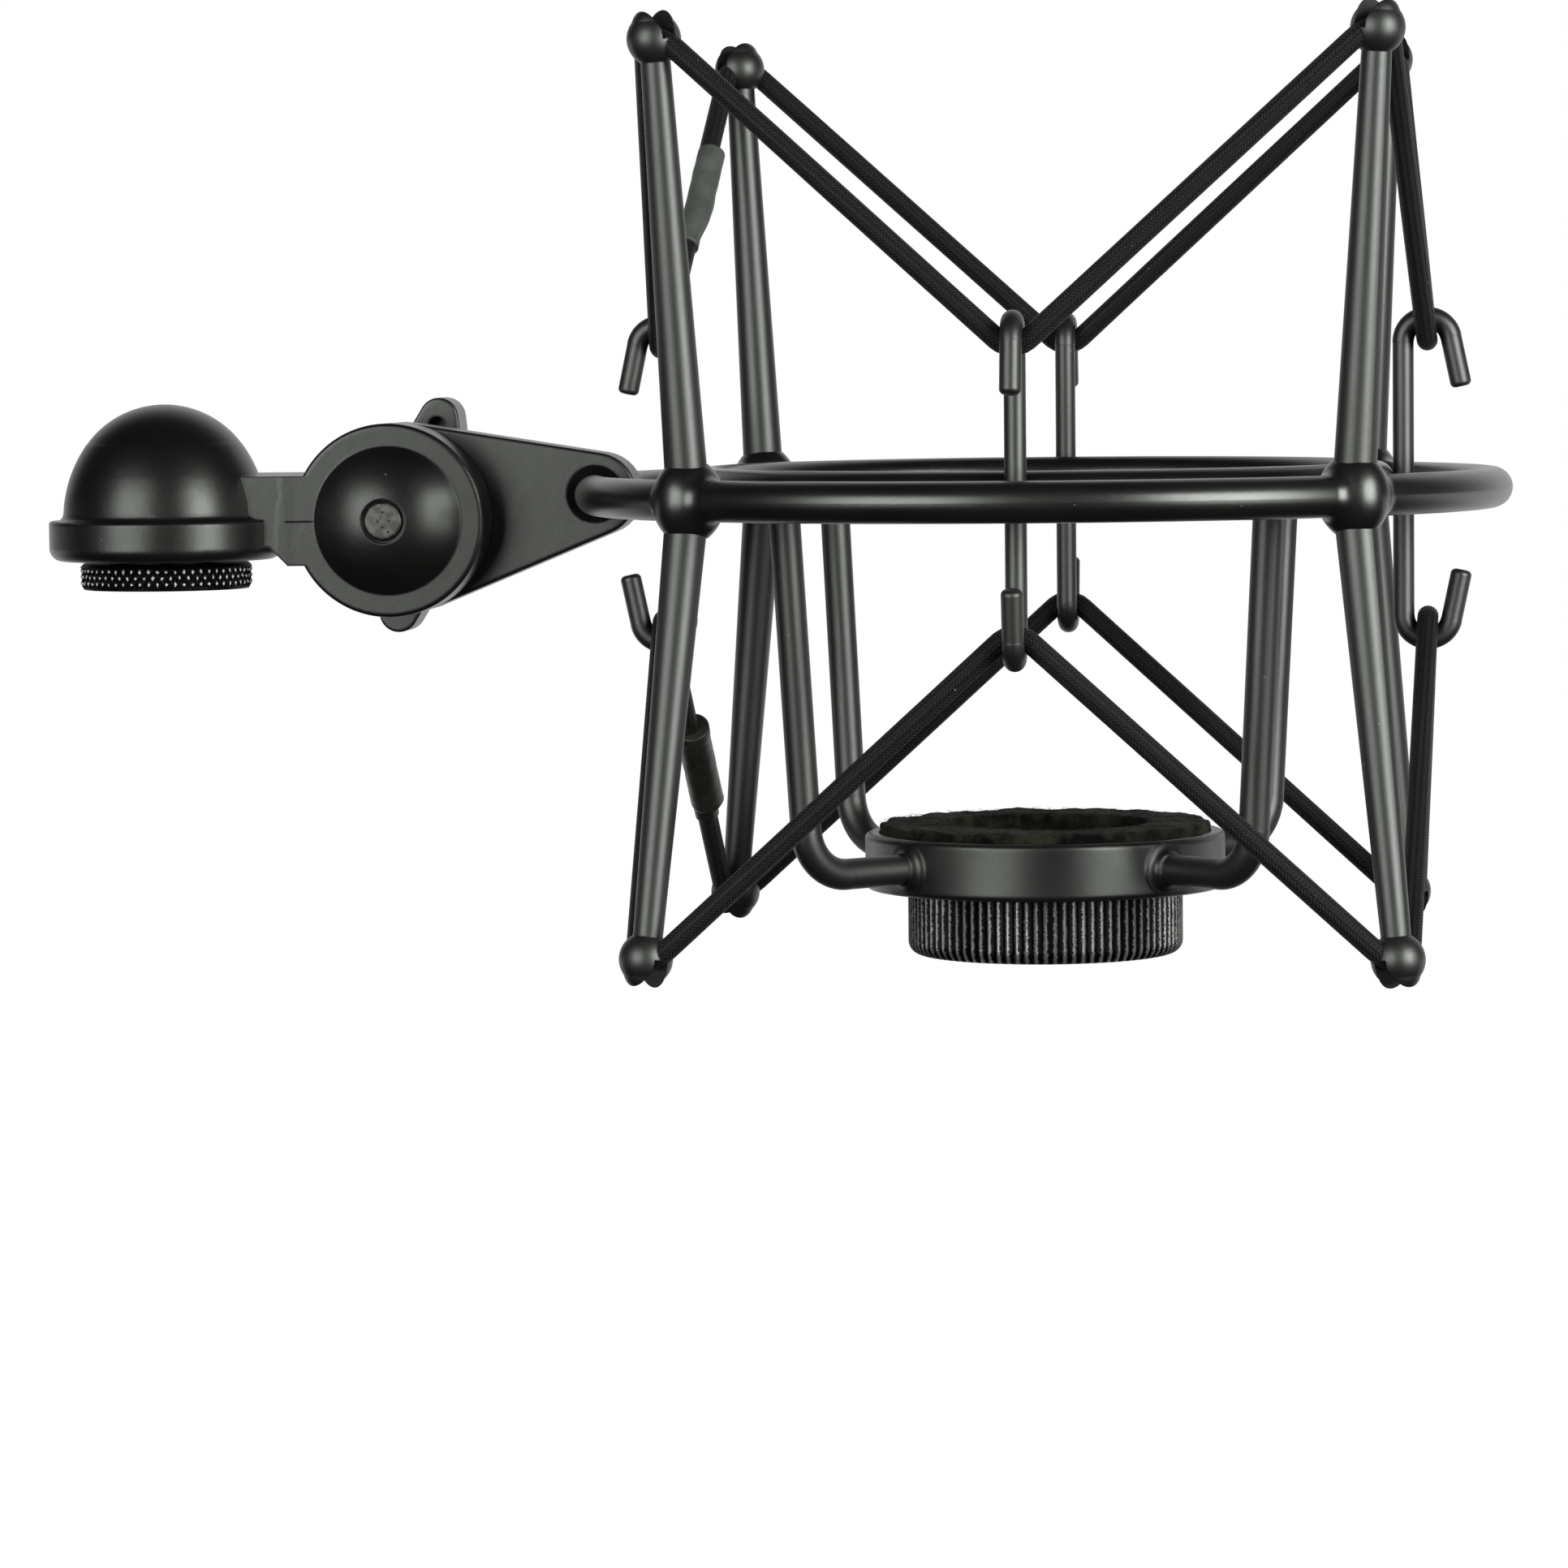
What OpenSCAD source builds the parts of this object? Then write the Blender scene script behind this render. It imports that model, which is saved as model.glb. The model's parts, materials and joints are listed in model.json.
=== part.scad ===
// Elastic suspension mount for a large studio microphone.
// A swivel head on a stand thread carries a tilting arm and a ring with eight slotted posts.
// Two elastic loops zigzag between the posts and the hooks of a floating wire cradle.
// Millimetres, +Z up, +X from the stand to the ring. The origin is the foot of the stand thread.

/* [Stand adapter] */
// Radius of the knurled flange
adapter_flange_r = 12; // [10.5:0.5:15]
// Height of the knurled flange
adapter_flange_h = 3.6; // [2.5:0.1:6]
// Chamfer on the flange and the bushing
adapter_chamfer = 0.5; // [0.2:0.1:1]
// Radius of the bushing that screws into the head
bushing_r = 7.94; // [6.5:0.01:8.5]
// Length of the bushing above the flange
bushing_len = 13; // [8:0.5:15]
// Wall radius of the stand thread
stand_thread_r = 4.76; // [3.5:0.01:5.5]

/* [Swivel head] */
// Radius of the flange at the foot of the dome
head_flange_r = 16.2; // [16:0.2:18]
// Height of that flange
head_flange_h = 5.6; // [4:0.2:8]
// Rounding of the flange's lower edge
flange_foot_round = 1.8; // [0.4:0.1:2.2]
// Rounding of the flange's upper edge
flange_top_round = 0.5; // [0.2:0.1:0.8]
// Radius of the dome at its foot
dome_r = 14.2; // [13.8:0.1:14.4]
// Height of the dome above the flange
dome_h = 16.1; // [15.4:0.1:18]
// Radius of the dome's crown
crown_r = 13.3; // [12.6:0.1:13.6]
// Concave fillet between the dome and the flange
shoulder_fillet = 1; // [0.4:0.1:1.2]
// Height of the lug between the dome and the hinge
lug_h = 12.4; // [9:0.2:16]
// Slope of the lug's top towards the front in degrees
lug_draft = 3; // [0.5:0.5:5]
// Distance from the stand axis to the hinge axis
hinge_x = 32.4; // [31:0.2:45]
// Height of the hinge axis above the foot of the adapter
hinge_z = 9.4; // [8:0.2:16]
// Radius of the hinge discs of the head and the arm
disc_r = 13.4; // [11:0.2:14]
// Thickness of the head's hinge disc and lug
disc_t = 8; // [6:0.2:10]
// Distance from the stand axis to the front face of the disc
disc_front = 5.6; // [3:0.2:7]
// Rounding of the disc's front edge
disc_round = 0.6; // [0.2:0.1:1]
// Width of the flat rim around the domed cap
rim_w = 3.1; // [2:0.1:5]
// Height of the domed cap
cap_h = 4.2; // [2:0.1:6]

/* [Clamp] */
// Radius of the clamp stud
screw_r = 2.7; // [2:0.05:3.5]
// Chamfer on both ends of the stud
screw_chamfer = 0.3; // [0.1:0.1:0.6]
// Depth of the stud's end below the top of the cap
screw_sink = 0.5; // [0.2:0.1:0.8]
// Width of the recess around the stud's end
recess_w = 0.35; // [0.2:0.05:0.8]
// Depth of that recess below the top of the cap
recess_depth = 1; // [0.9:0.1:2]
// Length of stud that stands out behind the wing handle
screw_tail = 1.2; // [0.5:0.1:5]
// Radius of the friction washer in the hinge
friction_washer_r = 11.5; // [8:0.5:12.5]
// Thickness of the friction washer
friction_washer_t = 0.5; // [0.3:0.1:1.5]
// Thickness of the washer under the wing handle
wing_washer_t = 0.8; // [0.5:0.1:2]
// Radius of the wing handle's hub
wing_hub_r = 7.4; // [5:0.1:9]
// Length of the hub along the stud
wing_hub_h = 15; // [9:0.5:18]
// Thickness of the two lobes
wing_lobe_t = 7.4; // [5:0.2:8.4]
// Distance from the stud to the centre of a lobe's round end
wing_reach = 14.2; // [10:0.2:20]
// Radius of a lobe's round end
wing_end_r = 2.8; // [2.4:0.1:5]
// Rounding of the wing handle's edges
wing_round = 0.4; // [0.2:0.1:1.4]
// Radius of the hole in the upper lobe
wing_hole_r = 1.3; // [0.5:0.05:2]
// Distance from the stud to that hole
wing_hole_reach = 13; // [10:0.2:16]
// Depth of that hole
wing_hole_depth = 4; // [1:0.5:4.5]
// Turn of the wing handle away from upright
wing_angle = 12.6; // [0:0.2:90]

/* [Tilt arm] */
// Distance from the hinge axis to the ring's bar, along X
arm_reach = 27.8; // [24:0.2:45]
// Rise of the ring's plane above the hinge axis
arm_rise = 3.2; // [0:0.2:8]
// Thickness of the arm
arm_t = 8; // [6:0.2:12]
// Radius of the arm's tip around the bar
arm_tip_r = 5.8; // [5:0.1:8]
// Rounding of the arm's edges
arm_round = 0.5; // [0.3:0.1:1.5]
// Flare of the hole at both faces of the tip
tip_flare = 1.3; // [0.4:0.1:1.6]

/* [Ring frame] */
// Radius of the outer ring at the middle of its bar
ring_r = 62; // [58:0.5:75]
// Radius of the ring's bar
ring_bar_r = 2.75; // [2:0.05:3.2]
// Radius of the balls on the ring
ring_ball_r = 4.6; // [4.4:0.1:6]
// Length of a post from the ring's plane to its ball end
post_len = 60.8; // [50:0.2:75]
// Radius of a post at the ring
post_foot_r = 2.85; // [2.4:0.05:3.2]
// Radius of a post below its ball end
post_neck_r = 1.95; // [1.6:0.05:2.3]
// Radius of the ball end
post_ball_r = 3.6; // [3.2:0.1:4.5]
// Rise of the two lobes beyond the ball
lobe_rise = 0.7; // [0.3:0.1:1.2]
// Outward lean of the upper posts in degrees
upper_splay = 4.5; // [0:0.1:8]
// Outward lean of the lower posts in degrees
lower_splay = 7.5; // [0:0.1:10]

/* [Elastic] */
// Radius of the elastic cord
cord_r = 1.45; // [1.2:0.05:1.7]
// Squeeze of the cord where it is held
cord_pinch = 0.05; // [0.02:0.01:0.1]
// Bend of the cord over a post's ball end
post_bend_r = 4; // [3.4:0.1:6]
// Radius of the upper shrink sleeve
upper_sleeve_r = 2.1; // [2:0.1:3.5]
// Radius of the lower shrink sleeve
lower_sleeve_r = 2.4; // [2:0.1:3.5]
// Length of a shrink sleeve
sleeve_len = 20; // [10:0.5:26]
// Length of the thinner collar at the sleeve's end
sleeve_collar_len = 2.6; // [1:0.2:6]
// Thickness of the collar's wall
sleeve_collar_wall = 0.5; // [0.3:0.1:0.8]
// Distance from the post's end of the cord run to the sleeve
sleeve_start = 17; // [6:0.5:24]

/* [Cradle] */
// Rise of the empty cradle above the outer ring's plane
cradle_lift = 1.2; // [0:0.2:3]
// Radius of the inner ring at the middle of its bar
inner_ring_r = 46; // [40:0.5:48]
// Radius of the inner ring's bar
inner_bar_r = 2.5; // [2.2:0.05:3]
// Radius of the hook wire
hook_wire_r = 1.45; // [1.2:0.05:1.5]
// Depth of the hook's seat in the inner ring
hook_seat = 0.15; // [0.05:0.05:0.5]
// Overall height of a double hook
hook_h = 47; // [40:0.5:56]
// Rounding of the hook's free ends
hook_tip_round = 0.7; // [0.2:0.1:0.7]
// Bend of the hook at the middle of the wire
hook_bend_r = 3.3; // [3.3:0.1:4.5]
// Length of the straight free arm after the bend
hook_arm_len = 7; // [4:0.2:9]
// Outward flare of the free arm in degrees
hook_flare = 12; // [0:1:18]
// Radius of the upright rods
upright_r = 2.1; // [1.6:0.05:2.3]
// Inward lean of the uprights in degrees
upright_lean = 4.2; // [0:0.2:8]
// Bend of the uprights at the middle of the rod
upright_bend_r = 7; // [5:0.2:12]

/* [Cup] */
// Distance from the cradle's plane down to the rim of the cup
cup_drop = 48.5; // [40:0.5:60]
// Radius of the cup
cup_r = 25; // [24.2:0.2:28]
// Height of the cup
cup_h = 7.8; // [7:0.2:11]
// Rounding of the cup's outer edges
cup_round = 0.8; // [0.3:0.1:1.5]
// Radius of the fillet around each rod at the cup wall
weld_fillet = 1.5; // [0.5:0.1:1.6]
// Depth of the sockets for the rods
socket_depth = 3; // [2:0.2:3.6]
// Wall of the cup around the felt pad
felt_wall = 1.9; // [1.5:0.1:3]
// Radius of the hole in the felt pad
felt_hole_r = 14.35; // [14:0.05:18]
// Thickness of the felt pad
felt_t = 3; // [2:0.1:5]
// Depth of the felt's recess in the cup
felt_recess = 1.5; // [1:0.1:1.7]

/* [Retaining nut] */
// Radius of the knurled nut
nut_r = 19.1; // [18:0.1:22]
// Height of the knurled nut
nut_h = 9.1; // [6:0.1:12]
// Rounding of the nut's lower edge
nut_round = 1.8; // [0.5:0.1:2.5]
// Wall radius of the microphone thread
mic_thread_r = 13.6; // [11:0.05:13.9]
// Radius of the neck that turns in the cup
neck_r = 17; // [16.5:0.05:17.5]
// Thickness of the snap ring on the neck
retainer_t = 1; // [0.6:0.1:1.2]
// Depth of the snap ring's groove
retainer_groove = 0.8; // [0.4:0.1:1.2]
// Outer radius of the snap ring
retainer_r = 19.3; // [18.5:0.1:19.6]

/* [Clearances] */
// Radial clearance of turning fits
turn_gap = 0.05; // [0.02:0.01:0.1]
// Gap between faces that turn on each other
face_gap = 0.1; // [0.05:0.05:0.3]
// Gap between the adapter's flange and the head
foot_gap = 0.4; // [0.3:0.1:1]
// Gap between the cord and the hook wire
hook_gap = 0.2; // [0.1:0.05:0.25]
// Gap around the felt and under it
felt_gap = 0.3; // [0.1:0.1:0.5]

/* [Hidden] */
$fn = 64;
// Overrun of a cut beyond the faces it goes through
over = 1;
paint = [0.08, 0.08, 0.085];
bare_steel = [0.45, 0.45, 0.44];
black_steel = [0.05, 0.05, 0.052];
braid = [0.06, 0.065, 0.06];
shrink = [0.13, 0.14, 0.14];
felt_colour = [0.07, 0.06, 0.05];

// Heights of the head
head_foot_z = adapter_flange_h + foot_gap;
head_shoulder_z = head_foot_z + head_flange_h;
socket_top_z = adapter_flange_h + bushing_len + foot_gap;

// The dome's side is an arc about a centre beyond the axis, and its crown continues it
crown_z = dome_h - crown_r;
side_over = dome_r - crown_r;
side_shift = (crown_z * crown_z - side_over * side_over) / (2 * side_over);
side_r = dome_r + side_shift;
crown_foot_z = side_r * crown_z / (side_shift + side_over);

// Layers of the hinge along Y, from the front
disc_back = disc_t - disc_front;
arm_front = disc_back + friction_washer_t + face_gap;
arm_back = arm_front + arm_t;
wing_front = arm_back + face_gap + wing_washer_t;
wing_back = wing_front + wing_hub_h;
cap_r = disc_r - rim_w;
cap_sphere_r = (cap_r * cap_r + cap_h * cap_h) / (2 * cap_h);
turning_r = screw_r + turn_gap;

// Centres of the outer ring and of the floating cradle
ring_c = [hinge_x + arm_reach + ring_r, arm_front + arm_t / 2, hinge_z + arm_rise];
cradle_c = ring_c + [0, 0, cradle_lift];

// Posts, hooks and the eyes that the cord runs through
CORNERS = ["back_right", "back_left", "front_left", "front_right"];
SIDES = ["back", "left", "front", "right"];
function corner_bearing(i) = 45 + 90 * i;
function side_bearing(i) = 90 + 90 * i;
post_seat = sqrt(ring_ball_r * ring_ball_r - post_foot_r * post_foot_r);
hook_rod_x = inner_ring_r + inner_bar_r + hook_wire_r - hook_seat;
hook_bend_z = hook_h / 2 - hook_wire_r - hook_bend_r;
hook_cord_r = hook_wire_r + cord_r + hook_gap;
hook_eye_z = hook_bend_z + hook_bend_r - hook_cord_r;
held_cord_r = cord_r - cord_pinch;
// Width of a post's slot, in radii of the held cord
mouth_ratio = 1.6;

// Round shapes that run into each other lap a little way and differ by a touch in radius
lap = 0.3;
touch = 0.03;

// Cup and nut, measured from the cradle's plane
cup_top = -cup_drop;
cup_foot = cup_top - cup_h;
leg_z = cup_top - cup_h / 2;
felt_r = cup_r - felt_wall;
felt_floor = cup_top - felt_recess;
retainer_top = felt_floor - 2 * felt_gap - retainer_groove / 2;
retainer_foot = retainer_top - retainer_t;
pocket_floor = retainer_foot - face_gap;
neck_top = felt_floor - felt_gap;
nut_top = cup_foot - face_gap;
nut_foot = nut_top - nut_h;

// Vectors and the cord's route
function unit(v) = v / norm(v);
function outward(bearing) = [cos(bearing), sin(bearing), 0];
function post_eye(i, splay, side) =
    ring_c + (ring_r + post_len * sin(splay)) * outward(corner_bearing(i))
    + [0, 0, side * post_len * cos(splay)];
function hook_eye(i, side) =
    cradle_c + (hook_rod_x + hook_bend_r) * outward(side_bearing(i)) + [0, 0, side * hook_eye_z];

// The eight turning points of a loop: post, hook, post, hook and so on around the ring
function loop_eye(k, splay, side) =
    k % 2 == 0 ? post_eye(k / 2, splay, side) : hook_eye((k - 1) / 2, side);
function loop_bend(k) = k % 2 == 0 ? post_bend_r : hook_cord_r;

// Points and directions of the cord round one turning point, in five steps
TURN_STEPS = 2;
function turn(eye, before, after, bend) =
    let (to_before = unit(before - eye), to_after = unit(after - eye))
    let (along = unit(to_after - to_before), pull = unit(to_after + to_before))
    let (half = acos(to_after * along))
    [for (s = [-TURN_STEPS:TURN_STEPS])
        let (a = half * s / TURN_STEPS)
        [eye + bend * (sin(a) * along + (1 - cos(a)) * pull), cos(a) * along + sin(a) * pull]];
function loop_turn(k, splay, side) =
    turn(loop_eye(k, splay, side), loop_eye((k + 7) % 8, splay, side),
         loop_eye((k + 1) % 8, splay, side), loop_bend(k));
function loop_route(splay, side) = [for (k = [0:7]) each loop_turn(k, splay, side)];

// Angle of the pull on a post's ball end, from the post's axis towards the ring's middle
function pull_angle(splay, side) =
    let (eye = post_eye(0, splay, side))
    let (pull = unit(hook_eye(0, side) - eye) + unit(hook_eye(3, side) - eye))
    atan2(-pull * outward(corner_bearing(0)), -side * pull[2]) - splay;

module torus(major, minor, sweep = 360) {
    rotate_extrude(angle = sweep) translate([major, 0]) circle(r = minor);
}

// Turned shapes of the hinge: local +Z points to the front along the hinge axis
module at_hinge() {
    translate([hinge_x, 0, hinge_z]) rotate([90, 0, 0]) children();
}

module hinge_ring(outer, inner, y_front, y_back) {
    at_hinge() translate([0, 0, -y_back]) difference() {
        cylinder(r = outer, h = y_back - y_front);
        translate([0, 0, -over]) cylinder(r = inner, h = y_back - y_front + 2 * over);
    }
}

// Flat disc with rounded edges, for blending with hull
module pebble(r, t, edge) {
    for (side = [-1, 1])
        translate([0, 0, side * (t / 2 - edge)])
            rotate_extrude($fn = 36) translate([r - edge, 0]) circle(r = edge, $fn = 16);
}

module stand_adapter() color(black_steel) {
    foot = adapter_flange_r - adapter_chamfer;
    top = adapter_flange_h + bushing_len;
    rotate_extrude() polygon([
        [stand_thread_r, 0], [foot, 0], [adapter_flange_r, adapter_chamfer],
        [adapter_flange_r, adapter_flange_h - adapter_chamfer], [foot, adapter_flange_h],
        [bushing_r, adapter_flange_h], [bushing_r, top - adapter_chamfer],
        [bushing_r - adapter_chamfer, top], [stand_thread_r, top]]);
}

// Flange and two-arc dome, turned from one outline
module dome() {
    rotate_extrude() {
        translate([0, head_foot_z]) {
            square([head_flange_r - flange_foot_round, head_flange_h]);
            translate([head_flange_r - flange_foot_round, flange_foot_round]) circle(r = flange_foot_round);
            translate([0, flange_foot_round])
                square([head_flange_r, head_flange_h - flange_foot_round - flange_top_round]);
            translate([0, flange_foot_round])
                square([head_flange_r - flange_top_round, head_flange_h - flange_foot_round]);
            translate([head_flange_r - flange_top_round, head_flange_h - flange_top_round])
                circle(r = flange_top_round);
        }
        translate([0, head_shoulder_z]) {
            intersection() {
                translate([-side_shift, 0]) circle(r = side_r);
                square([dome_r, crown_foot_z]);
            }
            intersection() {
                translate([0, crown_z]) circle(r = crown_r - touch);
                translate([0, crown_foot_z - lap]) square([dome_r, dome_h]);
            }
            translate([dome_r, 0]) difference() {
                translate([-shoulder_fillet, -shoulder_fillet]) square(2 * shoulder_fillet);
                translate([shoulder_fillet, shoulder_fillet]) circle(r = shoulder_fillet);
            }
        }
    }
}

// Lug from the dome to the hinge disc, with a sloping top and a slanted notch beside the flange
module lug() {
    top = hinge_z + lug_h / 2;
    foot = hinge_z - lug_h / 2;
    top_back = top + disc_t * tan(lug_draft);
    notch_x = head_flange_r - flange_top_round;
    notch_z = head_foot_z + flange_foot_round;
    difference() {
        translate([0, disc_back, 0]) rotate([90, 0, 0]) linear_extrude(disc_t) polygon([
            [0, top_back], [hinge_x, top_back], [hinge_x, foot],
            [notch_x + notch_z - foot, foot], [notch_x, notch_z], [0, notch_z]]);
        translate([-over, -disc_front, top]) rotate([lug_draft, 0, 0]) translate([0, -over, 0])
            cube([hinge_x + 2 * over, disc_t + 2 * over, top_back - top + over]);
    }
}

module hinge_disc() {
    at_hinge() {
        rotate_extrude() {
            translate([0, -disc_back]) square([disc_r, disc_t - disc_round]);
            translate([0, -disc_back]) square([disc_r - disc_round, disc_t]);
            translate([disc_r - disc_round, disc_front - disc_round]) circle(r = disc_round);
        }
        intersection() {
            translate([0, 0, disc_front + cap_h - cap_sphere_r]) sphere(r = cap_sphere_r);
            translate([0, 0, disc_front - disc_round]) cylinder(r = cap_r, h = 2 * cap_h);
        }
    }
}

module stand_head() color(paint) difference() {
    union() {
        dome();
        lug();
        hinge_disc();
    }
    cylinder(r = bushing_r + turn_gap, h = socket_top_z);
    at_hinge() {
        translate([0, 0, -disc_back - over]) cylinder(r = screw_r, h = disc_t + cap_h + 2 * over);
        translate([0, 0, disc_front + cap_h - recess_depth])
            cylinder(r = screw_r + recess_w, h = recess_depth + over);
    }
}

module clamp_screw() color(bare_steel) {
    front = disc_front + cap_h - screw_sink;
    tail = wing_back + screw_tail;
    end_r = screw_r - screw_chamfer;
    at_hinge() rotate_extrude() polygon([
        [0, -tail], [end_r, -tail], [screw_r, screw_chamfer - tail],
        [screw_r, front - screw_chamfer], [end_r, front], [0, front]]);
}

module friction_washer() color(shrink)
    hinge_ring(friction_washer_r, turning_r, disc_back, disc_back + friction_washer_t);

module wing_washer() color(bare_steel)
    hinge_ring(wing_hub_r, turning_r, wing_front - wing_washer_t, wing_front);

module wing_handle() color(paint) {
    lobe_y = wing_back - wing_lobe_t / 2;
    at_hinge() difference() {
        rotate([0, 0, -wing_angle]) union() {
            translate([0, 0, -wing_back]) cylinder(r = wing_hub_r, h = wing_hub_h);
            for (side = [-1, 1]) translate([0, 0, -lobe_y]) hull() {
                pebble(wing_hub_r, wing_lobe_t, wing_round);
                translate([0, side * wing_reach, 0]) pebble(wing_end_r, wing_lobe_t, wing_round);
            }
        }
        translate([0, 0, -wing_back - over]) cylinder(r = turning_r, h = wing_hub_h + 2 * over);
        rotate([0, 0, -wing_angle])
            translate([0, wing_hole_reach, wing_lobe_t - wing_back - wing_hole_depth])
                cylinder(r = wing_hole_r, h = wing_hole_depth + over);
    }
}

module ring_bar() {
    translate(ring_c) torus(ring_r, ring_bar_r);
}

module tilt_arm() color(paint) difference() {
    translate([0, arm_front + arm_t / 2, 0]) hull() {
        translate([hinge_x, 0, hinge_z]) rotate([90, 0, 0]) pebble(disc_r, arm_t, arm_round);
        translate([hinge_x + arm_reach, 0, ring_c[2]]) rotate([90, 0, 0])
            pebble(arm_tip_r, arm_t, arm_round);
    }
    at_hinge() translate([0, 0, -arm_back - over]) cylinder(r = turning_r, h = arm_t + 2 * over);
    ring_bar();
    for (face = [0, 1])
        translate([hinge_x + arm_reach, face ? arm_back : arm_front, ring_c[2]])
            rotate([face ? 90 : -90, 0, 0])
                cylinder(r1 = ring_bar_r + tip_flare, r2 = 0, h = ring_bar_r + tip_flare);
}

module outer_ring() color(paint) ring_bar();

// Frame of a post: local +Z runs along the post, +X leans away from the ring's middle
module at_post(i, splay, side) {
    translate(ring_c) rotate([0, 0, corner_bearing(i)]) translate([ring_r, 0, 0])
        mirror([0, 0, side < 0 ? 1 : 0]) rotate([0, splay, 0]) children();
}

module post_spot_face(i, splay, side) {
    at_post(i, splay, side) translate([0, 0, post_seat]) cylinder(r = ring_ball_r, h = ring_ball_r);
}

module ring_ball(i) color(paint) difference() {
    at_post(i, 0, 1) sphere(r = ring_ball_r);
    ring_bar();
    post_spot_face(i, upper_splay, 1);
    post_spot_face(i, lower_splay, -1);
}

// Tapered post whose ball end is slotted for the cord: a round groove with a flared mouth
module post(i, splay, side) color(paint) at_post(i, splay, side) {
    mouth_w = mouth_ratio * held_cord_r;
    mouth_top = post_ball_r + lobe_rise + over;
    difference() {
        union() {
            translate([0, 0, post_seat])
                cylinder(r1 = post_foot_r, r2 = post_neck_r, h = post_len - post_seat);
            translate([0, 0, post_len]) sphere(r = post_ball_r);
            translate([0, 0, post_len + 2 * lobe_rise]) sphere(r = post_ball_r - lobe_rise);
        }
        translate([0, 0, post_len]) rotate([0, pull_angle(splay, side), 0])
            translate([0, 0, -post_bend_r]) rotate([0, -90, 0]) rotate([0, 0, -90])
                torus(post_bend_r, held_cord_r, 180);
        translate([0, post_ball_r + over, post_len]) rotate([90, 0, 0])
            linear_extrude(2 * post_ball_r + 2 * over) polygon([
                [-mouth_w / 2, 0], [mouth_w / 2, 0], [mouth_w / 2, held_cord_r],
                [mouth_w, mouth_top], [-mouth_w, mouth_top], [-mouth_w / 2, held_cord_r]]);
    }
}

// Closed loop of cord, swept with eight sides along its route
CORD_SIDES = 8;
module elastic(splay, side) color(braid) {
    route = loop_route(splay, side);
    count = len(route);
    points = [for (station = route)
        let (away = unit([station[0][0] - ring_c[0], station[0][1] - ring_c[1], 0]))
        let (across = unit(away - (away * station[1]) * station[1]))
        let (above = cross(station[1], across))
        for (k = [0:CORD_SIDES - 1])
            let (a = 360 * (k + 0.5) / CORD_SIDES)
            station[0] + cord_r * (cos(a) * across + sin(a) * above)];
    faces = [for (i = [0:count - 1], k = [0:CORD_SIDES - 1])
        let (next = (i + 1) % count, beside = (k + 1) % CORD_SIDES)
        let (a = i * CORD_SIDES + k, b = i * CORD_SIDES + beside)
        let (c = next * CORD_SIDES + beside, d = next * CORD_SIDES + k)
        each [[a, c, b], [a, d, c]]];
    polyhedron(points, faces);
}

// Shrink sleeve on the run from the back left post to the left hook
module sleeve(splay, side, r) color(shrink) {
    post_end = loop_turn(2, splay, side)[2 * TURN_STEPS][0];
    hook_end = loop_turn(3, splay, side)[0][0];
    run = unit(hook_end - post_end);
    body_len = sleeve_len - sleeve_collar_len;
    translate(post_end + sleeve_start * run)
        rotate([0, acos(run[2]), atan2(run[1], run[0])])
            difference() {
                union() {
                    cylinder(r = cord_r + sleeve_collar_wall, h = sleeve_len);
                    translate([0, 0, side > 0 ? 0 : sleeve_collar_len])
                        cylinder(r = r, h = body_len);
                }
                translate([0, 0, -over]) cylinder(r = held_cord_r, h = sleeve_len + 2 * over);
            }
}

module inner_ring() color(paint) translate(cradle_c) difference() {
    torus(inner_ring_r, inner_bar_r);
    for (i = [0:3]) rotate([0, 0, side_bearing(i)])
        translate([hook_rod_x, 0, -hook_bend_z]) cylinder(r = hook_wire_r, h = 2 * hook_bend_z);
}

// Half of a double hook: half the rod, a bend and a flared free arm with a rounded end
module half_hook() {
    core_r = hook_wire_r - hook_tip_round;
    translate([hook_rod_x, 0, 0]) cylinder(r = hook_wire_r, h = hook_bend_z + lap);
    translate([hook_rod_x + hook_bend_r, 0, hook_bend_z]) {
        rotate([90, 0, 0]) rotate([0, 0, hook_flare])
            torus(hook_bend_r, hook_wire_r + touch, 180 - hook_flare);
        rotate([0, -hook_flare, 0]) translate([hook_bend_r, 0, lap]) mirror([0, 0, 1])
            rotate_extrude() {
                square([hook_wire_r, hook_arm_len + lap - hook_tip_round]);
                square([core_r, hook_arm_len + lap]);
                translate([core_r, hook_arm_len + lap - hook_tip_round]) circle(r = hook_tip_round);
            }
    }
}

module hook(i) color(paint) translate(cradle_c) rotate([0, 0, side_bearing(i)]) {
    half_hook();
    mirror([0, 0, 1]) half_hook();
}

// Bent rod from the inner ring's underside into a socket of the cup
module upright(i) color(paint) translate(cradle_c) {
    bend_turn = 90 - upright_lean;
    corner_x = inner_ring_r + leg_z * tan(upright_lean);
    bend_x = corner_x - upright_bend_r * tan(bend_turn / 2);
    bend_z = leg_z + upright_bend_r;
    rise = (-bend_z + upright_bend_r * sin(upright_lean)) / cos(upright_lean);
    leg_start = cup_r - socket_depth;
    difference() {
        rotate([0, 0, corner_bearing(i)]) {
            translate([leg_start, 0, leg_z]) rotate([0, 90, 0])
                cylinder(r = upright_r, h = bend_x - leg_start + lap);
            translate([bend_x, 0, bend_z]) {
                rotate([90, 0, 0]) rotate([0, 0, -90])
                    torus(upright_bend_r, upright_r + touch, bend_turn);
                rotate([0, upright_lean, 0]) translate([upright_bend_r, 0, -lap])
                    cylinder(r = upright_r, h = rise + lap);
            }
        }
        torus(inner_ring_r, inner_bar_r);
    }
}

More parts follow.
